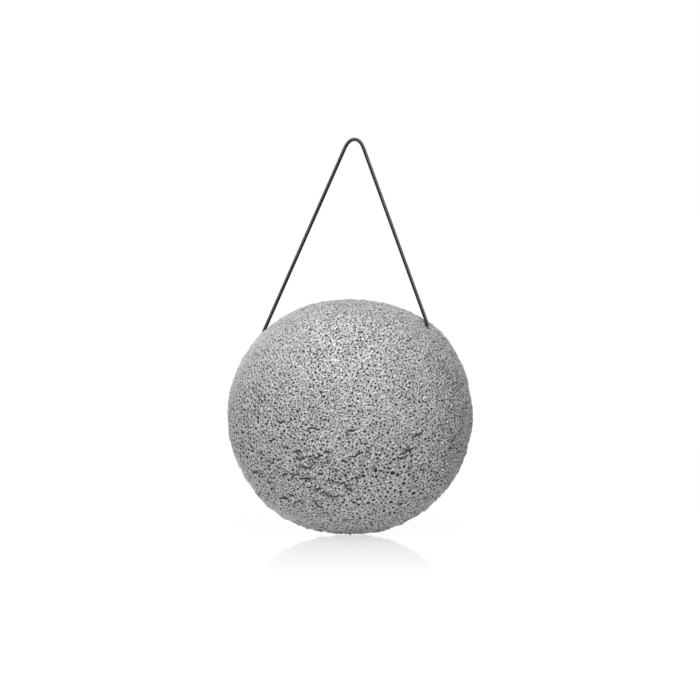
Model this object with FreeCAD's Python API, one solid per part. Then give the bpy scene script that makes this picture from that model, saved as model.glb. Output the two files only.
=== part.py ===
import FreeCAD
import Part
import math
import os

# A konjac sponge on a cord loop. The half-ball of konjac foam is domed in front and flat behind.
# A thin cord crosses its upper part in a straight channel, and the two cord ends are knotted
# together in a pocket under the middle of that channel. The free loop swings about the channel
# as a bail swings in its ears.
# Millimetres, +Z up. The dome faces -Y and +X is to the right. The origin is where a hook bears,
# inside the top of the loop.

Vector = FreeCAD.Vector
UP = Vector(0, 0, 1)
BACK = Vector(0, 1, 0)

# Foam half-ball
sponge_width = 80.0
sponge_height = 77.6
dome_depth = 28.0  # widest outline to the front of the dome
shoulder_radius = 19.0  # rounding from the widest outline into the dome
back_depth = 16.0  # widest outline to the flat back
back_rounding = 17.0  # rounding from the widest outline towards the flat back
hang_drop = 89.9  # hook to the middle of the foam
hook_offset = 1.6  # the hook stands this far to the right of the foam's middle

# Cord and its channel
cord_diameter = 1.1
channel_turn = 7.0  # degrees seen from above, right end towards the front
channel_clearance = 0.08  # between cord and foam, all round
stub_length = 4.0  # straight end of the loop inside the channel
mouth_radius = 2.3  # round dimple at each end of the channel
mouth_offset = 0.7  # the dimple's middle, out from the loop's last corner in the channel
arc_share = 0.45  # of the shorter run, taken up by each half of a bend

# Knot inside the foam
knot_bend_radius = 1.5  # where each cord end turns down into the knot
knot_slack = 0.05  # between the strands of the knot
knot_lead = 0.2  # straight cord between the bend and the first turn
tail_length = 3.0  # cut ends below the last turn
turn_count = 2
pocket_clearance = 0.25  # between the knot and the foam

# The loop from the left channel mouth over the hook to the right one: along the loop, then up
cord_radius = cord_diameter / 2
loop_route = [
    (-29.1, -62.35),
    (-29.9, -61.2),
    (-2.45, cord_radius),
    (1.6, cord_radius),
    (23.6, -59.1),
    (22.75, -60.35),
]


def in_loop_plane(along, up):
    """A point in the upright plane that holds the loop and the channel."""
    turn = math.radians(channel_turn)
    return Vector(along * math.cos(turn), -along * math.sin(turn), up)


def rounded_wire(points, radius_limit=math.inf):
    """Straight runs joined by tangent arcs, each as large as its runs and the limit allow."""
    edges = []
    radii = []
    start = points[0]
    for before, corner, after in zip(points, points[1:], points[2:]):
        arriving = (corner - before).normalize()
        leaving = (after - corner).normalize()
        half_turn = arriving.getAngle(leaving) / 2
        shorter = min(corner.distanceToPoint(before), corner.distanceToPoint(after))
        radius = min(arc_share * shorter / math.tan(half_turn), radius_limit)
        setback = radius * math.tan(half_turn)
        inward = (leaving - arriving).normalize()
        first = corner - arriving * setback
        middle = corner + inward * (radius / math.cos(half_turn) - radius)
        last = corner + leaving * setback
        edges.append(Part.LineSegment(start, first).toShape())
        edges.append(Part.Arc(first, middle, last).toShape())
        radii.append(radius)
        start = last
    edges.append(Part.LineSegment(start, points[-1]).toShape())
    return Part.Wire(edges), radii


def cord_tube(name, points, radius_limit=math.inf):
    """A round cord along the points, with its radii and its volume against section times length."""
    wire, radii = rounded_wire(points, radius_limit)
    section = Part.Wire(Part.makeCircle(cord_radius, points[0], points[1] - points[0]))
    tube = wire.makePipeShell([section], True, False)
    expected = math.pi * cord_radius**2 * wire.Length
    print(
        f"{name}: length {wire.Length:.2f}, radii {[round(radius, 2) for radius in radii]},"
        f" volume {tube.Volume:.3f} against {expected:.3f}"
    )
    return tube


def profile_point(along_radius, centre_y, radius, degrees):
    """A point of a profile arc: 0 degrees is its front, 90 its outside and 180 its back."""
    angle = math.radians(degrees)
    return Vector(along_radius + radius * math.sin(angle), centre_y - radius * math.cos(angle), 0)


def profile_arc(along_radius, centre_y, radius, start, end):
    """A profile arc between two angles."""
    angles = (start, (start + end) / 2, end)
    points = [profile_point(along_radius, centre_y, radius, angle) for angle in angles]
    return Part.Arc(*points).toShape()


def half_ball():
    """The plain foam shape, its widest outline in the plane y = 0 and its middle at the origin."""
    half_width = sponge_width / 2
    shoulder_middle = half_width - shoulder_radius
    dome_rise = dome_depth - shoulder_radius
    dome_centre = (shoulder_middle**2 - dome_rise**2) / (2 * dome_rise)
    meeting = math.degrees(math.atan2(shoulder_middle, dome_centre))
    back_middle = half_width - back_rounding
    dome = profile_arc(0, dome_centre, dome_depth + dome_centre, 0, meeting)
    shoulder = profile_arc(shoulder_middle, 0, shoulder_radius, meeting, 90)
    rounding = profile_arc(back_middle, 0, back_rounding, 90, 180)
    back_corner = Vector(back_middle, back_rounding, 0)
    back_axis = Vector(0, back_rounding, 0)
    front_axis = Vector(0, -dome_depth, 0)
    back_line = Part.LineSegment(back_corner, back_axis).toShape()
    axis_line = Part.LineSegment(back_axis, front_axis).toShape()
    profile = Part.Face(Part.Wire([dome, shoulder, rounding, back_line, axis_line]))
    quarter = profile.revolve(Vector(), BACK, 90)
    others = [quarter.rotated(Vector(), BACK, turn) for turn in (90, 180, 270)]
    ball = quarter.fuse(others)
    flatten = FreeCAD.Matrix()
    flatten.scale(1, 1, sponge_height / sponge_width)
    ball = ball.transformGeometry(flatten)
    beyond = Part.makeBox(2 * sponge_width, back_rounding, 2 * sponge_width)
    beyond.translate(Vector(-sponge_width, back_depth, -sponge_width))
    return ball.cut(beyond).Solids[0]


def hung_half_ball():
    """The foam hung with its weight in the loop's plane, so that it doesn't tip."""
    ball = half_ball()
    middle = Vector(-hook_offset, 0, -hang_drop)
    ball.translate(middle)
    weight = ball.CenterOfMass
    plane_y = -weight.x * math.tan(math.radians(channel_turn))
    ball.translate(BACK * (plane_y - weight.y))
    return ball


route = [in_loop_plane(along, up) for along, up in loop_route]
left_mouth = route[0]
right_mouth = route[-1]
channel = (right_mouth - left_mouth).normalize()
channel_middle = (left_mouth + right_mouth) / 2
square_to_loop = channel.cross(UP).normalize()
down = channel.cross(square_to_loop).normalize()
left_stub = left_mouth + channel * stub_length
right_stub = right_mouth - channel * stub_length


def hanging_loop():
    """The free loop, with a straight stub in each end of the channel."""
    return cord_tube("hanging_loop", [left_stub, *route, right_stub])


strand_pitch = cord_diameter + knot_slack
turn_reach = strand_pitch / 2 + strand_pitch  # middle of the knot to the end of a turn
first_turn_drop = knot_bend_radius + knot_lead + cord_radius
last_turn_drop = first_turn_drop + (turn_count - 1) * strand_pitch
tail_drop = last_turn_drop + cord_radius + tail_length


def cord_end(name, stub, side):
    """One cord end: along the channel from the loop's stub, then down through the knot."""
    corner = channel_middle + channel * (side * strand_pitch / 2)
    return cord_tube(name, [stub, corner, corner + down * tail_drop], knot_bend_radius)


def knot_turn(drop):
    """One turn of the knot round both cord ends, drawn as a closed ring."""
    middle = channel_middle + down * drop
    half_straight = channel * (strand_pitch / 2)
    aside = square_to_loop * strand_pitch
    outward = channel * turn_reach
    right_front = middle + half_straight - aside
    right_back = middle + half_straight + aside
    left_front = middle - half_straight - aside
    left_back = middle - half_straight + aside
    path = Part.Wire(
        [
            Part.LineSegment(left_front, right_front).toShape(),
            Part.Arc(right_front, middle + outward, right_back).toShape(),
            Part.LineSegment(right_back, left_back).toShape(),
            Part.Arc(left_back, middle - outward, left_front).toShape(),
        ]
    )
    section = Part.Wire(Part.makeCircle(cord_radius, left_front, channel))
    return path.makePipeShell([section], True, False)


def knot_turns():
    """The turns that bind the two cord ends, one above the other."""
    drops = [first_turn_drop + number * strand_pitch for number in range(turn_count)]
    return Part.makeCompound([knot_turn(drop) for drop in drops])


def mouth(corner, outward):
    """The dimple that a channel end opens into, so that the loop's bend can swing round."""
    return Part.makeSphere(mouth_radius, corner + outward * mouth_offset)


def foam_body():
    """The foam with the cord's channel, its two mouths and the knot's pocket."""
    reach = sponge_width
    channel_radius = cord_radius + channel_clearance
    bore = Part.makeCylinder(channel_radius, 2 * reach, channel_middle - channel * reach, channel)
    pocket_radius = turn_reach + cord_radius + pocket_clearance
    pocket_top = cord_radius + pocket_clearance
    pocket = Part.makeCylinder(
        pocket_radius,
        pocket_top + tail_drop + pocket_clearance,
        channel_middle - down * pocket_top,
        down,
    )
    mouths = [mouth(left_mouth, -channel), mouth(right_mouth, channel)]
    return hung_half_ball().cut([bore, pocket, *mouths]).Solids[0]


nodes = {
    "foam_body": foam_body(),
    "hanging_loop": hanging_loop(),
    "left_cord_end": cord_end("left_cord_end", left_stub, -1),
    "right_cord_end": cord_end("right_cord_end", right_stub, 1),
    "knot_turns": knot_turns(),
}

os.makedirs("parts", exist_ok=True)
for node, shape in nodes.items():
    shape.exportStep(f"parts/{node}.step")
    box = shape.BoundBox
    print(
        f"{node}: valid {shape.isValid()}, solids {len(shape.Solids)}, volume {shape.Volume:.2f},"
        f" x {box.XMin:.2f} to {box.XMax:.2f}, y {box.YMin:.2f} to {box.YMax:.2f},"
        f" z {box.ZMin:.2f} to {box.ZMax:.2f}"
    )
print("channel through", channel_middle, "along", channel)
print("foam weight at", nodes["foam_body"].CenterOfMass)
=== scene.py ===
# %% [markdown]
# A konjac sponge is a half-ball of dried konjac foam on a thin cord loop. This lesson dresses its
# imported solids: the cord is braided strand by strand, and the foam is one closed mesh whose skin
# is broken by real bubbles, creases and grain. Everything is in metres and in the solids' frame.

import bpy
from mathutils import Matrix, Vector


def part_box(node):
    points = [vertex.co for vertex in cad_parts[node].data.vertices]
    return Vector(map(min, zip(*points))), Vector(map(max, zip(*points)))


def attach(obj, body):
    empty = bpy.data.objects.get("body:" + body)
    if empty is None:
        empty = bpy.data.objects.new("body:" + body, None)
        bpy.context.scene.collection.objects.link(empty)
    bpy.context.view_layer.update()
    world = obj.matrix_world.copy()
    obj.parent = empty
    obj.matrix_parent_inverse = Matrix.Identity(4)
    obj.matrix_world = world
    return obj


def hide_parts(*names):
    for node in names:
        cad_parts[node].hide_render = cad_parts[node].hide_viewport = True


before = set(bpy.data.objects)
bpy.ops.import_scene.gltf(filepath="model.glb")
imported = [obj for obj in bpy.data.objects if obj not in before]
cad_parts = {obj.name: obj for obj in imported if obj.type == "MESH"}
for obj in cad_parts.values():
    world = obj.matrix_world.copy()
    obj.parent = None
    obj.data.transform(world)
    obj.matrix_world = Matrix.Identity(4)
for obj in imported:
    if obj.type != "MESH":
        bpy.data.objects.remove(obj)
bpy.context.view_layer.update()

# %% The modules used below
import math

import bpy
import numpy as np
from mathutils import Matrix, Vector, kdtree

# %% [markdown]
# The camera is placed first. The picture shows hardly any perspective, so a long lens stands well
# back, a few degrees above level. The foam's width in pixels gives the width of the whole picture.

# %% The camera
picture_pixels = 700
foam_pixels = 245  # the foam's width in the picture
foam_row = 416.5  # the picture row of the foam's middle
camera_distance = 1.2
camera_elevation = math.radians(4)

foam_low, foam_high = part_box("foam_body")
foam_middle = (foam_low + foam_high) / 2
foam_width = foam_high.x - foam_low.x
foam_height = foam_high.z - foam_low.z
pixel = foam_width / foam_pixels
raise_to_picture_middle = (foam_row - picture_pixels / 2) * pixel / math.cos(camera_elevation)
target = Vector((foam_middle.x, 0, foam_middle.z + raise_to_picture_middle))
away = Vector((0, -math.cos(camera_elevation), math.sin(camera_elevation)))

camera_data = bpy.data.cameras.new("photo_camera")
camera_data.sensor_width = 36
camera_data.lens = camera_data.sensor_width * camera_distance / (picture_pixels * pixel)
camera = bpy.data.objects.new("photo_camera", camera_data)
camera.location = target + away * camera_distance
camera.rotation_euler = (-away).to_track_quat("-Z", "Y").to_euler()
bpy.context.scene.collection.objects.link(camera)
bpy.context.scene.camera = camera
picture_width = picture_pixels * pixel * 1000
print(f"camera: lens {camera_data.lens:.0f} mm, picture {picture_width:.1f} mm wide")

# %% [markdown]
# The cord leaves the left hole, goes over a hook and comes down into the right hole, pulled
# straight by the sponge's weight. Its line is one NURBS spline through an upright plane. The route
# has few points, so the spline bends only at the hook and at the two holes: extra points near each
# of those keep the two long runs straight.

# %% The cord's route
cord_diameter = 0.0011
channel_turn = math.radians(7)  # seen from above, right end towards the front
stub_length = 0.004  # straight end of the loop inside the channel
straight_from = 6 * cord_diameter
left_mouth = (-0.0291, -0.06235)  # along the loop, then up, as in all points of the route
left_bend = (-0.0302, -0.06255)
hook_left = (-0.00205, cord_diameter / 2)
hook_right = (0.0018, cord_diameter / 2)
right_bend = (0.02395, -0.05995)
right_mouth = (0.02275, -0.06035)


def step_towards(start, end, distance):
    """The point that far from start, on the way to end."""
    start, end = Vector(start), Vector(end)
    return tuple(start + (end - start).normalized() * distance)


def in_loop_plane(along, up):
    """A point of the upright plane that holds the loop and the channel."""
    return Vector((along * math.cos(channel_turn), -along * math.sin(channel_turn), up))


loop_route = [
    step_towards(left_mouth, right_mouth, stub_length),
    left_mouth,
    left_bend,
    step_towards(left_bend, hook_left, math.dist(left_bend, left_mouth)),
    step_towards(hook_left, left_bend, straight_from),
    hook_left,
    hook_right,
    step_towards(hook_right, right_bend, straight_from),
    step_towards(right_bend, hook_right, math.dist(right_bend, right_mouth)),
    right_bend,
    right_mouth,
    step_towards(right_mouth, left_mouth, stub_length),
]
print(f"cord route: {len(loop_route)} points")

# %% The cord's line
line_data = bpy.data.curves.new("cord_line", "CURVE")
line_data.dimensions = "3D"
spline = line_data.splines.new("NURBS")
spline.points.add(len(loop_route) - 1)
for point, (along, up) in zip(spline.points, loop_route):
    point.co = (*in_loop_plane(along, up), 1)
spline.order_u = 3
spline.use_endpoint_u = True
spline.resolution_u = 64
line_object = bpy.data.objects.new("cord_line", line_data)
line_mesh = bpy.data.meshes.new_from_object(line_object)
line_points = np.array([vertex.co for vertex in line_mesh.vertices])
bpy.data.objects.remove(line_object)
line_steps = np.linalg.norm(np.diff(line_points, axis=0), axis=1)
line_lengths = np.concatenate([[0], np.cumsum(line_steps)])
cord_length = line_lengths[-1]
print(f"cord line: {len(line_points)} points, {cord_length * 1000:.1f} mm long")

# %% [markdown]
# The cord itself is a fine round braid: four strands wind one way and four the other, and each
# passes over and under the ones it meets. A smooth tube with a bump would do from afar, but real
# strands give the true ragged edge and the light and dark sides. At every step along the line each
# strand's middle circles the line, swinging out where it passes over and in where it passes under.

# %% A helper that skins rings of points
def tube_faces(ring_count, ring_sides, first=0):
    """Quads between neighbouring rings of points, and a flat face at each end."""
    ring = np.arange(ring_sides)
    after = (ring + 1) % ring_sides
    starts = first + ring_sides * np.arange(ring_count - 1)[:, None]
    near_edge = [starts + ring, starts + after]
    far_edge = [starts + ring_sides + after, starts + ring_sides + ring]
    quads = np.stack(near_edge + far_edge, axis=-1)
    last = first + ring_sides * (ring_count - 1)
    return [*quads.reshape(-1, 4).tolist(), (first + ring[::-1]).tolist(), (last + ring).tolist()]


# %% Steps along the cord
strands_each_way = 4
braid_pitch = 0.0036  # along the cord for one turn of a strand
braid_radius = 0.00043  # cord's middle to a strand's middle
braid_swing = 0.00005  # further out over a crossing, further in under it
strand_half_width = 0.00028
strand_half_thickness = 0.00014
strand_sides = 8
steps_per_turn = 18
step_length = braid_pitch / steps_per_turn

cord_steps = np.linspace(0, cord_length, round(cord_length / step_length))
cord_points = np.stack(
    [np.interp(cord_steps, line_lengths, line_points[:, axis]) for axis in range(3)], axis=1
)
cord_ahead = np.gradient(cord_points, axis=0)
cord_ahead /= np.linalg.norm(cord_ahead, axis=1)[:, None]
square_to_plane = np.array([math.sin(channel_turn), math.cos(channel_turn), 0])
cord_aside = np.cross(cord_ahead, square_to_plane)
print(f"cord: {len(cord_steps)} steps of {step_length * 1000:.2f} mm")


# %% The braid
def braid_strand(number, way):
    """Rings of points round one strand of the braid."""
    turn = way * 2 * math.pi * cord_steps / braid_pitch
    turn = turn + 2 * math.pi * number / strands_each_way
    swing = np.cos(2 * math.pi * strands_each_way * cord_steps / braid_pitch)
    outward = np.cos(turn)[:, None] * cord_aside + np.sin(turn)[:, None] * square_to_plane
    middles = cord_points + (braid_radius + way * braid_swing * swing)[:, None] * outward
    ahead = np.gradient(middles, axis=0)
    sideways = np.cross(ahead, outward)
    sideways /= np.linalg.norm(sideways, axis=1)[:, None]
    corner = 2 * math.pi * np.arange(strand_sides) / strand_sides
    across = strand_half_width * np.cos(corner)[None, :, None] * sideways[:, None, :]
    through = strand_half_thickness * np.sin(corner)[None, :, None] * outward[:, None, :]
    return (middles[:, None, :] + across + through).reshape(-1, 3)


strands = [
    braid_strand(number, way) for way in (1, -1) for number in range(strands_each_way)
]
strand_faces = [
    face
    for number in range(len(strands))
    for face in tube_faces(len(cord_steps), strand_sides, number * len(strands[0]))
]
strand_points = np.concatenate(strands)
cord_mesh = bpy.data.meshes.new("hanging_cord")
cord_mesh.from_pydata(strand_points.tolist(), [], strand_faces)
cord_mesh.shade_smooth()
hanging_cord = bpy.data.objects.new("hanging_cord", cord_mesh)
bpy.context.scene.collection.objects.link(hanging_cord)
print(f"braid: {len(strands)} strands, {len(cord_mesh.polygons)} faces")

# %% [markdown]
# The loop is painted paler on its outer side than on its inner side, as a lamp above would light the
# outer side and leave the inner one in shade: painted light and painted shade. So every point of the
# braid keeps a number for the finish: how far it lies on the outer side of the cord's line.

# %% The loop's outer side
ring_middles = np.tile(np.repeat(cord_points, strand_sides, axis=0), (len(strands), 1))
ring_outward = np.tile(np.repeat(cord_aside, strand_sides, axis=0), (len(strands), 1))
outer_side = ((strand_points - ring_middles) * ring_outward).sum(1) / braid_radius
outer_layer = cord_mesh.attributes.new("outer_side", "FLOAT", "POINT")
outer_layer.data.foreach_set("value", outer_side.astype(np.float32))
print(f"outer side: from {outer_side.min():.1f} to {outer_side.max():.1f}")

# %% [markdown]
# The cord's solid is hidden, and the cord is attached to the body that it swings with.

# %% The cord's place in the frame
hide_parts("hanging_loop")
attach(hanging_cord, "loop")
in_loop_plane(*left_mouth)

# %% [markdown]
# The foam starts as a ball of small squares. A ball made of rings has poles, where its squares
# shrink to slivers and a bumpy skin shows a star. So a cube is divided evenly instead and each of
# its points is pushed out along its direction. Each side of the cube is also one flat chart, on
# which a baked picture of the skin can lie.

# %% The sides of a divided cube
squares_per_side = 300
chart_columns = 3
chart_rows = 2
chart_margin = 0.01


def side_grid(axis, sign):
    """Whole-number points of one side of the cube, and each point's place from 0 to 1 across it."""
    count = np.arange(squares_per_side + 1)
    across, up = np.meshgrid(count, count, indexing="ij")
    fixed = np.full_like(across, squares_per_side if sign > 0 else 0)
    columns = [across, up] if sign > 0 else [up, across]
    columns.insert(axis, fixed)
    if axis == 1:
        columns[0], columns[2] = columns[2], columns[0]
    grid = np.stack(columns, axis=-1).reshape(-1, 3)
    place = np.stack([across, up], axis=-1).reshape(-1, 2) / squares_per_side
    return grid, place


def side_squares():
    """Corners of the squares of one side, counted along its grid."""
    row = squares_per_side + 1
    start = (np.arange(squares_per_side)[:, None] * row + np.arange(squares_per_side)).ravel()
    return np.stack([start, start + row, start + row + 1, start + 1], axis=-1)


print(f"cube: {squares_per_side} squares along each edge")

# %% A ball of small squares
grids = []
charts = []
squares = []
for side in range(6):
    grid, place = side_grid(side // 2, 1 if side % 2 else -1)
    column_row = np.array([side % chart_columns, side // chart_columns])
    inset = chart_margin + place * (1 - 2 * chart_margin)
    squares.append(side_squares() + sum(len(done) for done in grids))
    grids.append(grid)
    charts.append((column_row + inset) / (chart_columns, chart_rows))
lattice, shared = np.unique(np.concatenate(grids), axis=0, return_inverse=True)
shared = shared.ravel()
corner_charts = np.concatenate(charts)[np.concatenate(squares)]
foam_squares = shared[np.concatenate(squares)]
even_angle = np.tan((lattice / squares_per_side - 0.5) * math.pi / 2)
directions = even_angle / np.linalg.norm(even_angle, axis=1)[:, None]
print(f"ball: {len(directions)} points, {len(foam_squares)} squares")

# %% [markdown]
# The half-ball's plain form is the solid's own profile: a flat dome, a rounder shoulder down to
# the widest outline, and a tighter rounding behind it that ends in a flat back. Each is an arc
# seen from the middle of the widest outline, so one formula gives how far out a direction reaches.

# %% Sizes of the half-ball and distances to its arcs
back_depth = 0.016  # widest outline to the flat back
shoulder_radius = 0.019
back_rounding = 0.017
back_edge_softness = 0.002
tiny = 1e-6  # keeps a division from meeting zero
half_width = foam_width / 2
ridge_y = foam_high.y - back_depth
dome_depth = ridge_y - foam_low.y
outline_middle = np.array([foam_middle.x, ridge_y, foam_middle.z])


def reach_to_arc(side, front, centre_side, centre_front, radius):
    """Distance to an arc along directions given by their share to the side and to the front."""
    along = centre_side * side + centre_front * front
    across = centre_side * front - centre_front * side
    return along + np.sqrt(np.maximum(radius**2 - across**2, 0))


def soft_least(first, second, softness):
    """The lesser of two distances, with the corner between them rounded off."""
    overlap = np.maximum(softness - np.abs(first - second), 0)
    return np.minimum(first, second) - overlap**2 / (4 * softness)


print(f"widest outline: {half_width * 1000:.1f} mm from its middle, dome {dome_depth * 1000:.1f} mm deep")


# %% The half-ball's plain form
def dome_reach(side, front):
    """How far out the front reaches: the dome in its middle, the shoulder round it."""
    shoulder_middle = half_width - shoulder_radius
    dome_rise = dome_depth - shoulder_radius
    dome_centre = (shoulder_middle**2 - dome_rise**2) / (2 * dome_rise)
    dome = reach_to_arc(side, front, 0, -dome_centre, dome_depth + dome_centre)
    shoulder = reach_to_arc(side, front, shoulder_middle, 0, shoulder_radius)
    meeting = math.atan2(shoulder_middle, dome_centre)
    meeting_side = shoulder_middle + shoulder_radius * math.sin(meeting)
    meeting_front = shoulder_radius * math.cos(meeting)
    return np.where(front * meeting_side > side * meeting_front, dome, shoulder)


def back_reach(side, front):
    """How far out the back reaches: the rounding behind the rim, then the flat."""
    back_middle = half_width - back_rounding
    rounding = reach_to_arc(side, front, back_middle, 0, back_rounding)
    flat = back_depth / np.maximum(-front, tiny)
    on_rounding = side * back_rounding > -front * back_middle
    return np.where(on_rounding, soft_least(rounding, flat, back_edge_softness), flat)


def half_ball(directions):
    """Points of the plain half-ball about the middle of its widest outline."""
    front = -directions[:, 1]
    side = np.hypot(directions[:, 0], directions[:, 2])
    reach = np.where(front < 0, back_reach(side, front), dome_reach(side, front))
    return directions * reach[:, None] * (1, 1, foam_height / foam_width)


plain_points = half_ball(directions)
print("plain half-ball:", plain_points.min(0) * 1000, plain_points.max(0) * 1000, "mm")

# %% [markdown]
# A hand-cut, dried half-ball is never a true ellipse. The picture shows a fuller right shoulder,
# a slightly fuller left one and an uneven lower edge. Each is a soft swelling of the rim, given by
# its place on the clock of the outline, its spread and its height.

# %% Swellings of the outline
rim_swellings = [  # degrees up from the right, spread in degrees, height
    (18, 9, 0.0003),
    (42, 13, 0.0011),
    (92, 20, -0.00075),
    (140, 10, 0.0003),
    (232, 20, 0.0007),
    (275, 14, -0.0001),
    (312, 24, 0.0002),
]
swelling_depth = 0.009  # how far a swelling spreads to the front and the back of the rim


def near_clock(points, place, spread):
    """1 at a place on the clock of the outline, fading to 0 over the spread. Both in degrees."""
    clock = np.degrees(np.arctan2(points[:, 2], points[:, 0]))
    from_place = (clock - place + 180) % 360 - 180
    return np.exp(-((from_place / spread) ** 2))


def near_rim(points, depth):
    """1 at the widest outline, fading to 0 over a depth to its front and its back."""
    return np.exp(-((points[:, 1] / depth) ** 2))


def swollen(points):
    """The points with the rim pushed out or in."""
    height = np.zeros(len(points))
    for place, spread, swelling in rim_swellings:
        height += swelling * near_clock(points, place, spread) * near_rim(points, swelling_depth)
    sideways = points * (1, 0, 1)
    from_axis = np.maximum(np.linalg.norm(sideways, axis=1), tiny)
    return points + sideways * (height / from_axis)[:, None]


swollen_points = swollen(plain_points)
print("swollen half-ball:", swollen_points.min(0) * 1000, swollen_points.max(0) * 1000, "mm")

# %% [markdown]
# The skin is later moved in and out along the way it faces, so that direction is measured once on
# the smooth form. Blender gives it for every point of a mesh, and a mesh is quick to make.

# %% The way the skin faces
def foam_mesh_of(points):
    """A smooth closed mesh of the foam's squares."""
    mesh = bpy.data.meshes.new("foam_half_ball")
    mesh.from_pydata(points.tolist(), [], foam_squares.tolist())
    mesh.shade_smooth()
    return mesh


def facing(mesh):
    """The outward direction at each point of a mesh."""
    normals = np.empty(len(mesh.vertices) * 3, np.float32)
    mesh.vertex_normals.foreach_get("vector", normals)
    return normals.reshape(-1, 3).astype(float)


smooth_mesh = foam_mesh_of(swollen_points)
skin = facing(smooth_mesh)
bpy.data.meshes.remove(smooth_mesh)
print(f"skin: {np.mean((skin * swollen_points).sum(1) > 0):.1%} of it faces outward")

# %% [markdown]
# The random shapes need numbers that belong to places in space, so that the same script always
# gives the same sponge. Space is divided into little cells, and each cell looks its numbers up in
# one shuffled table by its whole-number address.

# %% Random numbers by place
table_size = 1 << 16
draws_per_cell = 6
place_seed = 29
draws = np.random.default_rng(place_seed).random((table_size, draws_per_cell))
address_factors = np.array([73856093, 19349663, 83492791])
layer_factor = 2654435761


def cell_draws(cells, layer):
    """Six random numbers from 0 to 1 for each cell of one layer."""
    mixed = cells.astype(np.int64) * address_factors
    address = mixed[:, 0] ^ mixed[:, 1] ^ mixed[:, 2] ^ (layer * layer_factor)
    return draws[address % table_size]


def smooth_noise(points, cell_size, layer):
    """Noise from -1 to 1 that changes smoothly over about one cell."""
    place = points / cell_size
    low = np.floor(place)
    share = place - low
    share = share * share * (3 - 2 * share)
    noise = np.zeros(len(points))
    for corner in np.ndindex(2, 2, 2):
        weight = np.prod(np.where(corner, share, 1 - share), axis=1)
        noise += weight * (2 * cell_draws(low + corner, layer)[:, 0] - 1)
    return noise


print(f"random numbers: {draws.size} in one table")

# %% [markdown]
# The rim isn't the same all round. The picture shows it smooth at the left, most of all at the upper
# left, lit pale along most of its edge and in shade at the right. The finish paints that rim light and
# that shade into the colour, and paints the smooth stretches paler as rim light too. Each of these
# stretches is a number from 0 to 1 at every point, found from its place on the clock of the outline,
# and both the shape and the finish use it. Painting them by hand would take longer and couldn't be
# repeated.

# %% Stretches of the rim
lower_left_share = 0.7  # as smooth as the upper left
rim_light_depth = 0.007
rim_light_top_gap = 0.8  # of the painted rim light is missing at the top
right_shade_depth = 0.0135
right_shade_limit = 0.4  # flattens the painted shade at the right, so that it reaches far in without a black edge


def rim_stretch(place, spread, depth):
    """1 at a place of the rim, fading to 0 over the spread, in degrees, and over the depth."""
    return near_clock(swollen_points, place, spread) * near_rim(swollen_points, depth)


upper_left = rim_stretch(place=140, spread=34, depth=0.015)
lower_left = rim_stretch(place=222, spread=35, depth=0.006)
smooth_rim = np.maximum(upper_left, lower_left_share * lower_left)
# painted rim light along most of the edge, and painted shade at the right edge
painted_rim_light = near_rim(swollen_points, rim_light_depth)
painted_rim_light *= 1 - near_clock(swollen_points, place=0, spread=55)
painted_rim_light *= 1 - rim_light_top_gap * near_clock(swollen_points, place=110, spread=45)
painted_right_shade = np.minimum(near_rim(swollen_points, right_shade_depth), right_shade_limit)
painted_right_shade *= near_clock(swollen_points, place=350, spread=40)
print(f"rim: {smooth_rim.mean():.0%} smooth, {painted_rim_light.mean():.0%} pale, {painted_right_shade.mean():.0%} dark")

# %% [markdown]
# Now the skin is roughened. Slow noise makes lumps that nobody would place by hand, fine noise makes
# the grain of the foam's walls, and the cut rim is rougher than the moulded dome, most of all below.

# %% Lumps, grain and a ragged rim
lump_height = 0.00014
wide_lump = 0.009  # across
small_lump = 0.0035
grain_height = 0.00015
fine_grain_size = 0.0004
wide_grain_size = 0.0009
wide_grain_share = 0.4
grain_stretch = np.array([1, 1, 1.4])  # the grain lies level, a little longer than high
smoothed_share = 0.5  # of the grain is missing where the rim is smooth
rim_roughness = 0.00038
rim_depth = 0.008
least_ragged = 0.5  # found all round, beside 1 more below
wide_notch = 0.0014
small_notch = 0.0007
small_notch_share = 0.5

lumps = smooth_noise(swollen_points, wide_lump, layer=6)
lumps += smooth_noise(swollen_points, small_lump, layer=7)
grain = smooth_noise(swollen_points * grain_stretch, fine_grain_size, layer=4)
grain += wide_grain_share * smooth_noise(swollen_points * grain_stretch, wide_grain_size, layer=5)
notches = smooth_noise(swollen_points, wide_notch, layer=8)
notches += small_notch_share * smooth_noise(swollen_points, small_notch, layer=10)
raggedness = least_ragged + near_clock(swollen_points, place=275, spread=60)
ragged = near_rim(swollen_points, rim_depth) * raggedness * notches
rise = lump_height * lumps + rim_roughness * ragged
rise += grain_height * grain * (1 - smoothed_share * smooth_rim)
raised_points = swollen_points + skin * rise[:, None]
print(f"rough skin: from {rise.min() * 1000:.2f} to {rise.max() * 1000:.2f} mm")

# %% [markdown]
# Konjac foam is full of round bubbles. Where the dried skin cuts one, a pore opens. So every layer
# of bubbles is a cloud of little balls in space, one to a cell, and each point of the skin that
# lies in a ball sinks until it meets the ball's far wall. A noise texture only paints dots. These
# pores have walls that catch the light and floors that lie in shadow. The finest bubbles fill
# all of the foam, so they are found by cells of space.

# %% Bubbles that open in the skin
def sink_into_balls(points, normals, centres, radii):
    """How far points sink along their normals before they leave the balls that they lie in."""
    from_centre = points - centres
    along = (from_centre * normals).sum(1)
    inside = radii**2 - (from_centre**2).sum(1)
    return np.where(inside > 0, along + np.sqrt(np.maximum(along**2 + inside, 0)), 0)


def bubble_depth(cell_size, least_radius, greatest_radius, chance, layer):
    """Depth of the pores that one layer of bubbles opens, a bubble being likely by its chance."""
    home = np.floor(raised_points / cell_size)
    depth = np.zeros(len(raised_points))
    for neighbour in np.ndindex(3, 3, 3):
        cells = home + neighbour - 1
        random = cell_draws(cells, layer)
        centres = (cells + random[:, :3]) * cell_size
        radius = least_radius + (greatest_radius - least_radius) * random[:, 3] ** 2
        radius = np.where(random[:, 4] < chance, radius, 0)
        depth = np.maximum(depth, sink_into_balls(raised_points, skin, centres, radius))
    return depth


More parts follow.
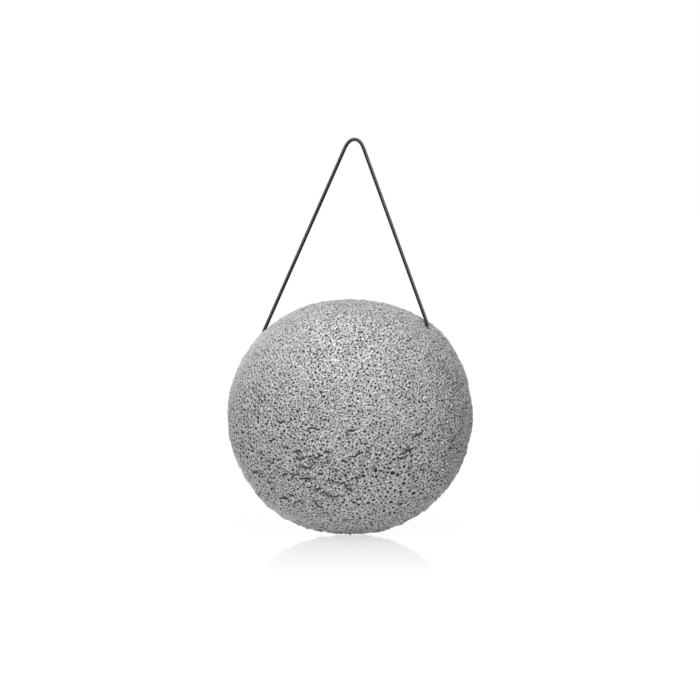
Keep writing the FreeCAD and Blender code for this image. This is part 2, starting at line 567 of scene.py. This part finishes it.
bubble_chance = 0.9
smooth_share = 0.6  # of the pores are missing where the rim is smooth
seen_depth = 0.0001  # a dent this deep shows
fine_pores = bubble_depth(
    cell_size=0.00062,
    least_radius=0.00016,
    greatest_radius=0.00027,
    chance=bubble_chance * (1 - smooth_share * smooth_rim),
    layer=1,
)
print(f"fine pores: {np.mean(fine_pores > seen_depth):.0%} of the skin")

# %% [markdown]
# The larger bubbles are pressed against one another, so their pores lie nearly evenly: pure chance
# would leave clumps and bare patches. Many places are tried in a random order, and each one that is
# kept strikes out those too near it. A KD-tree finds the neighbours of a place quickly. As in the
# picture, the pores are widest at the lower right, wider at the left and a little smaller at the
# top. Round each of them the skin is painted paler in a thin ring, its lip.

# %% Finding neighbours
def tree_of(points):
    """A search tree of points."""
    tree = kdtree.KDTree(len(points))
    for number, point in enumerate(points.tolist()):
        tree.insert(point, number)
    tree.balance()
    return tree


def numbers_near(tree, place, reach):
    """Numbers of a tree's points within reach of a place."""
    return np.array([number for _, number, _ in tree.find_range(place, reach)], int)


def spaced_out(points, spacing):
    """Numbers of points that keep their distance: an earlier one strikes out later ones near it."""
    tree = tree_of(points)
    free = np.ones(len(points), bool)
    kept = []
    for number, point in enumerate(points):
        if free[number]:
            kept.append(number)
            free[numbers_near(tree, point, spacing[number])] = False
    return kept


skin_tree = tree_of(raised_points)
print(f"search tree: {len(raised_points)} points")

# %% Sizes of the larger pores
pore_tries = 80000
least_pore = 0.00018
greatest_pore = 0.00042
wide_growth = 0.00009  # more radius for the pores at the lower right
widest_growth = 0.00022  # and still more for a few of them
widest_share = 0.15
left_growth = 0.00017  # more radius for those at the left, growing towards the rim
upper_shrink = 0.12  # of the radius is missing at the top, growing from the middle up
wide_place = np.array([0.014, -0.021])  # the middle of the wide pores, right and up from the foam's
wide_spread = np.array([0.018, 0.014])
pore_seed = 11
pore_random = np.random.default_rng(pore_seed)

tried = pore_random.choice(len(raised_points), pore_tries, replace=False)
tried_points = raised_points[tried]
pore_draw = pore_random.random(pore_tries) ** 2
from_wide = (tried_points[:, [0, 2]] - wide_place) / wide_spread
growth = wide_growth + widest_growth * (pore_random.random(pore_tries) < widest_share)
pore_radius = least_pore + (greatest_pore - least_pore) * pore_draw
pore_radius += growth * np.exp(-(from_wide**2).sum(1))
pore_radius += left_growth * np.clip(-tried_points[:, 0] / half_width, 0, 1) ** 2
pore_radius *= 1 - upper_shrink * np.clip(tried_points[:, 2] / half_width, 0, 1)
pore_radius *= 1 - smooth_share * smooth_rim[tried]
print(f"pores tried: radius from {pore_radius.min() * 1000:.2f} to {pore_radius.max() * 1000:.2f} mm")

# %% The larger pores
wall_thickness = 0.0005  # this much and some radii lie between the middles of two pores
spacing_in_radii = 1.8
sunk_share = 0.3  # of its radius, from the skin down to a bubble's middle
lip_reach = 2  # this and the next two in radii from the bubble's middle
lip_place = 1.35
lip_width = 0.3

pores = fine_pores.copy()
lips = np.zeros(len(raised_points))
kept_pores = spaced_out(tried_points, wall_thickness + spacing_in_radii * pore_radius)
for number in kept_pores:
    place, radius = tried[number], pore_radius[number]
    centre = raised_points[place] - skin[place] * radius * sunk_share
    near = numbers_near(skin_tree, centre, lip_reach * radius)
    sunk = sink_into_balls(raised_points[near], skin[near], centre, radius)
    pores[near] = np.maximum(pores[near], sunk)
    from_lip = np.linalg.norm(raised_points[near] - centre, axis=1) / radius - lip_place
    lips[near] = np.maximum(lips[near], np.exp(-((from_lip / lip_width) ** 2)))
print(f"pores: {len(kept_pores)}, deepest {pores.max() * 1000:.2f} mm")

# %% [markdown]
# Drying pulls the foam together, and its lower half has torn into short, bowed creases, most of
# them level. Each crease is a groove along a bowed, wavering line on the skin, deepest in its
# middle and broken here and there. Small ones are scattered by chance, most of them at the lower
# left. The few that the picture shows clearly are listed one by one: each is given by its place in
# the picture, and the point of the skin that the camera sees there is its middle.

# %% One crease
crease_reach = 1.3  # half lengths, as far as a crease may change the skin
bow_spread = 0.15  # the bow and the waver are in half lengths too
waver_height = 0.1
waver_rate = 5
gap_size = 0.0008
crease_seed = 7
crease_random = np.random.default_rng(crease_seed)
creases = np.zeros(len(raised_points))


def tear(place, fall, half_length, width, depth, gaps):
    """Deepens the skin along one groove round a point, its right end lower by the fall's angle."""
    normal = skin[place]
    near = numbers_near(skin_tree, raised_points[place], crease_reach * half_length)
    from_place = raised_points[near] - raised_points[place]
    rightward = np.cross((0, 0, 1), normal)
    rightward /= max(np.linalg.norm(rightward), tiny)
    upward = np.cross(normal, rightward)
    along = from_place @ (math.cos(fall) * rightward - math.sin(fall) * upward) / half_length
    across = from_place @ (math.sin(fall) * rightward + math.cos(fall) * upward)
    bow = crease_random.normal(0, bow_spread) * (1 - along**2)
    phase = crease_random.uniform(0, 2 * math.pi)
    waver = bow + waver_height * np.sin(waver_rate * along + phase)
    fading = np.sqrt(np.maximum(1 - along**2, 0))
    broken = 1 - gaps + gaps * smooth_noise(raised_points[near], gap_size, layer=9)
    groove = np.exp(-(((across - half_length * waver) / width) ** 2))
    creases[near] = np.maximum(creases[near], depth * broken * fading * groove)


# %% Places of the small creases
crease_count = 220
torn_place = np.array([-0.014, -0.020])  # the middle of the most torn skin, right and up
torn_spread = np.array([0.013, 0.009])
torn_chance = 3.5  # there, against 1 in the lower half
least_chance = 0.03  # everywhere
lower_from = 0.002  # the lower half's chance starts at this height and is full this far below it
lower_full = 0.012

from_torn = (swollen_points[:, [0, 2]] - torn_place) / torn_spread
lower_share = np.clip((lower_from - swollen_points[:, 2]) / lower_full, 0, 1)
crease_chance = least_chance + lower_share + torn_chance * np.exp(-(from_torn**2).sum(1))
crease_places = crease_random.choice(
    len(swollen_points), crease_count, p=crease_chance / crease_chance.sum()
)
print(f"small creases: {np.mean(swollen_points[crease_places, 2] < 0):.0%} in the lower half")

# %% Small creases by chance
fall_spread = 0.4
least_half_length = 0.0009
further_half_length = 0.0005  # more on average
small_widths = (0.00022, 0.00036)
small_depths = (0.0004, 0.0010)

for place in crease_places:
    tear(
        place,
        fall=crease_random.normal(0, fall_spread),
        half_length=least_half_length + crease_random.exponential(further_half_length),
        width=crease_random.uniform(*small_widths),
        depth=crease_random.uniform(*small_depths),
        gaps=0.5,
    )
print(f"small creases: {crease_count}, {np.mean(creases > seen_depth):.1%} of the skin")

# %% Clear creases one by one
clear_creases = [  # column and row in the picture, fall to the right in degrees, half length
    (280.5, 420.5, 10, 0.0020),
    (313.5, 431.5, 0, 0.0024),
    (350.5, 432.0, -13, 0.0019),
    (418.0, 434.5, -27, 0.0018),
    (408.5, 449.5, 0, 0.0014),
    (297.5, 452.5, 5, 0.0016),
    (328.0, 452.0, 0, 0.0017),
    (356.0, 455.0, -25, 0.0025),
    (318.0, 456.5, -20, 0.0017),
    (402.0, 457.0, -10, 0.0023),
    (306.5, 478.5, 0, 0.0016),
    (318.5, 489.0, -15, 0.0015),
    (349.0, 489.0, 20, 0.0016),
    (330.5, 496.5, 15, 0.0013),
    (291.5, 496.5, 36, 0.0015),
    (285.5, 500.0, 18, 0.0019),
    (318.0, 504.5, 49, 0.0026),
    (430.0, 329.0, 54, 0.0011),  # below the right hole
]
clear_width = 0.0003
clear_depth = 0.0008
clear_gaps = 0.2
picture_up = np.array([0, math.sin(camera_elevation), math.cos(camera_elevation)])
from_camera = raised_points + outline_middle - np.array(camera.location)
pixels_per_metre = camera_distance / (from_camera @ -np.array(away)) / pixel
columns = picture_pixels / 2 + from_camera[:, 0] * pixels_per_metre
rows = picture_pixels / 2 - from_camera @ picture_up * pixels_per_metre
faces_back = skin[:, 1] > 0
for column, row, fall, half_length in clear_creases:
    off_place = (columns - column) ** 2 + (rows - row) ** 2
    place = np.argmin(off_place + picture_pixels**2 * faces_back)
    tear(place, math.radians(fall), half_length, clear_width, clear_depth, clear_gaps)
print(f"clear creases: {len(clear_creases)}")

# %% [markdown]
# The cord goes into the foam through two small holes. When the sponge swings, the cord lies against
# the foam beside its holes, and there it has worn the skin back. So the end of the cord is turned
# about the channel to both ends of its swing, and the skin gives way to it all along.

# %% Holes that the cord has worn
swing_limit = 50  # degrees to each side
swing_steps = 11
worn_length = 0.012  # of the cord, from each of its ends
worn_slack = 0.00012
worn_radius = cord_diameter / 2 + worn_slack
channel_left = in_loop_plane(*left_mouth)
channel_line = in_loop_plane(*right_mouth) - channel_left


def turned_about_channel(points, degrees):
    """Points turned about the line of the channel."""
    turn = np.array(Matrix.Rotation(math.radians(degrees), 3, channel_line))
    return (points - np.array(channel_left)) @ turn.T + np.array(channel_left)


def worn_by(end_points):
    """How far the skin gives way to one end of the swinging cord."""
    depth = np.zeros(len(raised_points))
    from_hole = raised_points + outline_middle - end_points[len(end_points) // 2]
    near = np.flatnonzero((from_hole**2).sum(1) < worn_length**2)
    for degrees in np.linspace(-swing_limit, swing_limit, swing_steps):
        for centre in turned_about_channel(end_points, degrees) - outline_middle:
            sunk = sink_into_balls(raised_points[near], skin[near], centre, worn_radius)
            depth[near] = np.maximum(depth[near], sunk)
    return depth


# Small balls at the two holes' mouths dent the skin, and there the colour is painted fully dark: painted
# shade where the cord goes in.
mouth_radius = 0.0005
mouth_places = [(-0.0300, -0.0627), (0.0235, -0.0605)]  # along the loop, then up
mouth_dents_and_shade = np.zeros(len(raised_points))
for along, up in mouth_places:
    centre = np.array(in_loop_plane(along, up)) - outline_middle
    mouth_dents_and_shade = np.maximum(mouth_dents_and_shade, sink_into_balls(raised_points, skin, centre, mouth_radius))
end_count = round(worn_length / step_length)
holes = np.maximum(worn_by(cord_points[:end_count]), worn_by(cord_points[-end_count:]))
print(f"holes: deepest {holes.max() * 1000:.2f} mm, {np.sum(holes > 0)} points of the skin")

# %% [markdown]
# All of it is put together in one mesh. Two numbers stay with every point for the finish. The first
# is painted shade: the deeper a point lies in a pore, a crease, a worn hole or a hole's mouth, the
# darker its colour. The second is how pale it is: raised grain and the lips of the pores are paler
# than the rest, the smooth and pale stretches of the rim are painted paler as rim light, and the
# right edge is painted darker as shade.

# %% The foam's mesh
full_shade_depth = 0.00018  # a pore of this depth is painted fully dark, as shade
darkest = 3  # a point may be this many times as deep, which makes the pores' edges crisp
crease_shade = 0.5  # a crease lets more light in than a pore of its depth
worn_shade = 0.02  # and worn skin still more
# Painted rim light on the smooth and the pale stretches, painted shade at the right edge:
smooth_rim_light_weight = 1.2  # this and the next three against 1 for raised grain
edge_light_weight = 2.6
right_shade_weight = 4.4
lip_paleness = 0.35
sunk = np.max([pores, creases, holes, mouth_dents_and_shade], axis=0)
foam_mesh = foam_mesh_of(raised_points - skin * sunk[:, None] + outline_middle)
chart_layer = foam_mesh.uv_layers.new(name="OFBake")
chart_layer.uv.foreach_set("vector", corner_charts.astype(np.float32).ravel())
hollow_shade_layer = foam_mesh.attributes.new("painted_hollow_shade", "FLOAT", "POINT")
shade = np.max([pores, crease_shade * creases, worn_shade * holes, mouth_dents_and_shade], axis=0) / full_shade_depth
hollow_shade_layer.data.foreach_set("value", np.clip(shade, 0, darkest).astype(np.float32))
tone_light_layer = foam_mesh.attributes.new("grain_tone_and_light", "FLOAT", "POINT")
# grain and lips are the foam's own tone; the rest is painted rim light and painted shade
pale_tone_and_light = grain + smooth_rim_light_weight * smooth_rim + edge_light_weight * painted_rim_light
pale_tone_and_light += lip_paleness * lips - right_shade_weight * painted_right_shade
tone_light_layer.data.foreach_set("value", pale_tone_and_light.astype(np.float32))
foam_half_ball = bpy.data.objects.new("foam_half_ball", foam_mesh)
bpy.context.scene.collection.objects.link(foam_half_ball)
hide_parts("foam_body")
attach(foam_half_ball, "sponge")
print(f"foam: {len(foam_mesh.polygons)} squares")

# %% [markdown]
# Shader maths reads better as arithmetic than as a list of nodes. The class below wraps one socket,
# and sums, differences and products of such values add the Math nodes. Any other node comes from
# its add method.

# %% Values in a material
class Value:
    """A socket of a node tree. Arithmetic on values adds Math nodes."""

    def __init__(self, tree, socket=None):
        self.tree = tree
        self.socket = socket

    def add(self, kind, settings=None, inputs=None, output=0):
        """Adds a node: its settings first, then the values or links of its sockets."""
        node = self.tree.nodes.new(kind)
        for name, setting in (settings or {}).items():
            setattr(node, name, setting)
        for name, given in (inputs or {}).items():
            if isinstance(given, Value):
                self.tree.links.new(given.socket, node.inputs[name])
            else:
                node.inputs[name].default_value = given
        return Value(self.tree, node.outputs[output]) if node.outputs else None

    def math(self, operation, first, second):
        return self.add("ShaderNodeMath", {"operation": operation}, {0: first, 1: second})

    def __add__(self, other):
        return self.math("ADD", self, other)

    def __sub__(self, other):
        return self.math("SUBTRACT", self, other)

    def __rsub__(self, other):
        return self.math("SUBTRACT", other, self)

    def __mul__(self, other):
        return self.math("MULTIPLY", self, other)

    __radd__ = __add__
    __rmul__ = __mul__


def new_material(name):
    """An empty material and the value that its nodes are added through."""
    material = bpy.data.materials.new(name)
    material.use_nodes = True
    material.node_tree.nodes.clear()
    return material, Value(material.node_tree)


def mix_colours(nodes, share, first, second):
    """The first colour turning into the second as share goes from 0 to 1."""
    return nodes.add(
        "ShaderNodeMix", {"data_type": "RGBA"}, {0: share, 6: first, 7: second}, output=2
    )


# %% [markdown]
# The foam is grey from bamboo charcoal, which is spread through it in specks. Its walls are a
# little glassy in places, so the light breaks into small glints there. Its pores are painted nearly
# black by their depth, which is painted shade. A picture of foam could be laid on, but it would blur
# close up. Here one noise gives the specks, a level one pale flecks that are also the glossy places,
# and two slow ones keep the grey from being even. A finer noise is a bump between the mesh's points,
# and a thin sheen stands for the fuzz of the foam, which brightens the rim.

# %% The foam's finish
dark_foam = (0.16, 0.156, 0.152, 1)
pale_foam = (0.80, 0.777, 0.758, 1)
# painted shade at the bottom of the pores, creases and holes
painted_pore_shade = (0.025, 0.025, 0.025, 1)
# The grain's number also carries the painted rim light and the painted shade at the right edge.
grain_and_light_weight = 0.18  # these five say how much each pattern turns the foam pale
speckle_weight = 1.6
fleck_weight = 0.72
fold_weight = 0.3
patch_weight = 0.15
darkening = 0.68  # and this is taken off their sum
fleck_stretch = (1, 1, 1.5)  # the flecks are longer than high
wall_roughness = 0.32
fleck_gloss = 0.23  # the flecks are less rough by this much


def konjac_foam():
    material, nodes = new_material("konjac_foam")
    place = nodes.add("ShaderNodeTexCoord", output="Object")
    # painted shade: the deeper a point lies in a hollow, the darker its colour
    depth = nodes.add("ShaderNodeAttribute", {"attribute_name": "painted_hollow_shade"}, output="Fac")
    # grain and pale lips, with painted rim light and painted shade at the right edge
    grain = nodes.add("ShaderNodeAttribute", {"attribute_name": "grain_tone_and_light"}, output="Fac")
    speckle = nodes.add("ShaderNodeTexNoise", {}, {"Vector": place, "Scale": 2500, "Detail": 1})
    patches = nodes.add("ShaderNodeTexNoise", {}, {"Vector": place, "Scale": 90, "Detail": 2})
    level = nodes.add("ShaderNodeVectorMath", {"operation": "MULTIPLY"}, {0: place, 1: fleck_stretch})
    bubbles = nodes.add("ShaderNodeTexNoise", {}, {"Vector": level, "Scale": 1650, "Detail": 0})
    flecks = nodes.add(
        "ShaderNodeMapRange", {}, {"Value": bubbles, "From Min": 0.54, "From Max": 0.66}
    )
    folds = nodes.add("ShaderNodeTexNoise", {}, {"Vector": place, "Scale": 320, "Detail": 1})
    shade = grain_and_light_weight * grain + speckle_weight * speckle + fleck_weight * flecks
    shade = shade + fold_weight * folds + patch_weight * patches - darkening
    bare = mix_colours(nodes, shade, dark_foam, pale_foam)
    colour = mix_colours(nodes, depth, bare, painted_pore_shade)
    fine = nodes.add("ShaderNodeTexNoise", {}, {"Vector": place, "Scale": 3000, "Detail": 2})
    bump = nodes.add("ShaderNodeBump", {}, {"Height": fine, "Strength": 0.8, "Distance": 0.0002})
    surface = nodes.add(
        "ShaderNodeBsdfPrincipled",
        {},
        {
            "Base Color": colour,
            "Roughness": wall_roughness - fleck_gloss * flecks,
            "Specular IOR Level": 0.8,
            "Sheen Weight": 0.3,
            "Sheen Roughness": 0.4,
            "Normal": bump,
        },
    )
    nodes.add("ShaderNodeOutputMaterial", {}, {"Surface": surface})
    return material


foam_mesh.materials.append(konjac_foam())
print("foam finish:", foam_mesh.materials[0].name)

# %% [markdown]
# The cord is dark cotton. Its inner side is painted nearly black and its outer side grey, painted
# shade and painted light as a lamp above would leave them. A noise as fine as its fibres varies both
# colour and roughness. The knotted ends inside the foam are the same cord.

# %% The cord's finish
# painted shade for the loop's inner side and painted light for its outer side
cord_shadow = (0.012, 0.012, 0.012, 1)
cord_painted_lit_grey = (0.22, 0.22, 0.22, 1)
painted_light_from = -0.3  # from here on the outer side the painted light begins
painted_light_to = 0.6  # and here it is full
least_lit_share = 0.1  # of the cord's colour is the fibres' own even between them
least_roughness = 0.6
fibre_roughness = 0.4


def dark_cord():
    material, nodes = new_material("dark_cord")
    place = nodes.add("ShaderNodeTexCoord", output="Object")
    fibre = nodes.add("ShaderNodeTexNoise", {}, {"Vector": place, "Scale": 4000, "Detail": 2})
    outer = nodes.add("ShaderNodeAttribute", {"attribute_name": "outer_side"}, output="Fac")
    # painted light on the outer side of the loop, painted shade on its inner side
    painted_lit_side = nodes.add(
        "ShaderNodeMapRange", {}, {"Value": outer, "From Min": painted_light_from, "From Max": painted_light_to}
    )
    colour = mix_colours(nodes, painted_lit_side * (least_lit_share + fibre), cord_shadow, cord_painted_lit_grey)
    surface = nodes.add(
        "ShaderNodeBsdfPrincipled",
        {},
        {
            "Base Color": colour,
            "Roughness": least_roughness + fibre_roughness * fibre,
            "Specular IOR Level": 0.2,
        },
    )
    nodes.add("ShaderNodeOutputMaterial", {}, {"Surface": surface})
    return material


cord_finish = dark_cord()
cord_mesh.materials.append(cord_finish)
for node in ("left_cord_end", "right_cord_end", "knot_turns"):
    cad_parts[node].data.materials.clear()
    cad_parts[node].data.materials.append(cord_finish)
print("cord finish:", cord_finish.name)

# %% [markdown]
# The picture was taken on a glossy white table: the background is pure white, and only the foam's
# own reflection shows, fading towards the front. The floor glows white for the camera, with a
# little real shading near the foam, and a faint mirror is mixed in under it. For all other rays
# it is a white table that throws light back up, and it also glows a little, a faint light from below.

# %% The floor
floor_gap = 0.0003
floor_size = 6
floor_z = foam_low.z - floor_gap
floor_mesh = bpy.data.meshes.new("floor")
half_floor = floor_size / 2
floor_signs = [(-1, -1), (1, -1), (1, 1), (-1, 1)]
floor_corners = [(half_floor * across, half_floor * back, floor_z) for across, back in floor_signs]
floor_mesh.from_pydata(floor_corners, [], [(0, 1, 2, 3)])
floor = bpy.data.objects.new("floor", floor_mesh)
bpy.context.scene.collection.objects.link(floor)
print(f"floor: {floor_gap * 1000:.1f} mm under the foam")

# %% The floor's finish
table_light = 0.17  # thrown up at the foam, besides what the lamps give
mirror_share = 0.33
mirror_end = -0.104  # where the reflection has faded out, towards the front
shadow_share = 0.08
shadow_from = 0.2
shadow_end = 0.5
white = (1, 1, 1, 1)
table_grey = (0.8, 0.8, 0.8, 1)
shaded_grey = (0.95, 0.95, 0.95, 1)
glow_strength = 1.04
mirror_roughness = 0.06


def white_floor():
    material, nodes = new_material("white_floor")
    place = nodes.add("ShaderNodeTexCoord", output="Object")
    front = nodes.add("ShaderNodeSeparateXYZ", {}, {"Vector": place}, output="Y")
    fade = nodes.add(
        "ShaderNodeMapRange",
        {},
        {"Value": front, "From Min": mirror_end, "From Max": 0, "To Min": 0, "To Max": mirror_share},
    )
    seen = nodes.add("ShaderNodeLightPath", output="Is Camera Ray")
    out = nodes.add("ShaderNodeVectorMath", {"operation": "LENGTH"}, {0: place}, output="Value")
    near = nodes.add(
        "ShaderNodeMapRange",
        {},
        {
            "Value": out,
            "From Min": shadow_from,
            "From Max": shadow_end,
            "To Min": shadow_share,
            "To Max": 0,
        },
    )
    matt = nodes.add("ShaderNodeBsdfDiffuse", {}, {"Color": table_grey})
    # the table's glow: a faint light from below, besides the lamps
    table_glow = nodes.add("ShaderNodeEmission", {}, {"Color": white, "Strength": table_light})
    lit = nodes.add("ShaderNodeAddShader", {}, {0: matt, 1: table_glow})
    pale = nodes.add("ShaderNodeBsdfDiffuse", {}, {"Color": shaded_grey})
    glow = nodes.add("ShaderNodeEmission", {}, {"Color": white, "Strength": glow_strength})
    mirror = nodes.add(
        "ShaderNodeBsdfGlossy", {}, {"Color": white, "Roughness": mirror_roughness}
    )
    bright = nodes.add("ShaderNodeMixShader", {}, {0: near, 1: glow, 2: pale})
    shown = nodes.add("ShaderNodeMixShader", {}, {0: fade, 1: bright, 2: mirror})
    surface = nodes.add("ShaderNodeMixShader", {}, {0: seen, 1: lit, 2: shown})
    nodes.add("ShaderNodeOutputMaterial", {}, {"Surface": surface})
    return material


floor_mesh.materials.append(white_floor())
print("floor finish:", floor_mesh.materials[0].name)

# %% [markdown]
# The camera sees a white room, and so does the floor's mirror, which looks at the wall behind. But
# the room lights the foam only a little, and more from the left, because a real white room would
# wash out the shading. The Light Path node tells the kinds of rays apart.

# %% The world
room_strength = 0.03
room_slope = 0.03  # the room is brighter to the left by this much
wall_from = 0.55  # a mirrored ray this straight to the back meets the edge of the white wall
wall_full = 0.95  # and one this straight its bright middle

world = bpy.data.worlds.new("white_room")
world.use_nodes = True
world.node_tree.nodes.clear()
nodes = Value(world.node_tree)
toward = nodes.add("ShaderNodeTexCoord", output="Generated")
rightward = nodes.add("ShaderNodeSeparateXYZ", {}, {"Vector": toward}, output="X")
backward = nodes.add("ShaderNodeSeparateXYZ", {}, {"Vector": toward}, output="Y")
seen = nodes.add("ShaderNodeLightPath", output="Is Camera Ray")
mirrored = nodes.add("ShaderNodeLightPath", output="Is Glossy Ray")
refracted = nodes.add("ShaderNodeLightPath", output="Is Transmission Ray")
wall = nodes.add(
    "ShaderNodeMapRange", {}, {"Value": backward, "From Min": wall_from, "From Max": wall_full}
)
seen_white = nodes.math("MAXIMUM", nodes.math("MAXIMUM", seen, mirrored * wall), refracted)
room_light = room_strength - room_slope * rightward
strength = room_light + seen_white * (1 - room_light)
background = nodes.add(
    "ShaderNodeBackground", {}, {"Color": white, "Strength": strength}
)
nodes.add("ShaderNodeOutputWorld", {}, {"Surface": background})
bpy.context.scene.world = world
print("world:", world.name)

# %% [markdown]
# Three softboxes light the foam as a small studio would: a small key above the camera and a little
# to its right, which draws the glints, a wide one nearly overhead, which makes the top lighter than
# the bottom, and a faint one at the left. The white table below opens the shadows.

# %% The lamps
def softbox(name, azimuth, elevation, distance, size, power):
    """A square lamp that faces the foam, its azimuth counted from the camera to the right."""
    lamp = bpy.data.lights.new(name, "AREA")
    lamp.size = size
    lamp.energy = power
    turn = math.radians(azimuth)
    tilt = math.radians(elevation)
    level = Vector((math.sin(turn), -math.cos(turn), 0))
    back = level * math.cos(tilt) + Vector((0, 0, math.sin(tilt)))
    holder = bpy.data.objects.new(name, lamp)
    holder.location = foam_middle + back * distance
    holder.rotation_euler = (-back).to_track_quat("-Z", "Y").to_euler()
    bpy.context.scene.collection.objects.link(holder)
    print(f"{name}: {power} W")


softbox("key_softbox", azimuth=8, elevation=42, distance=0.8, size=0.2, power=2.95)
softbox("overhead_softbox", azimuth=-10, elevation=68, distance=0.8, size=0.5, power=3.8)
softbox("left_softbox", azimuth=-80, elevation=35, distance=0.8, size=0.4, power=0.5)
bpy.context.scene.view_settings.view_transform = "Standard"
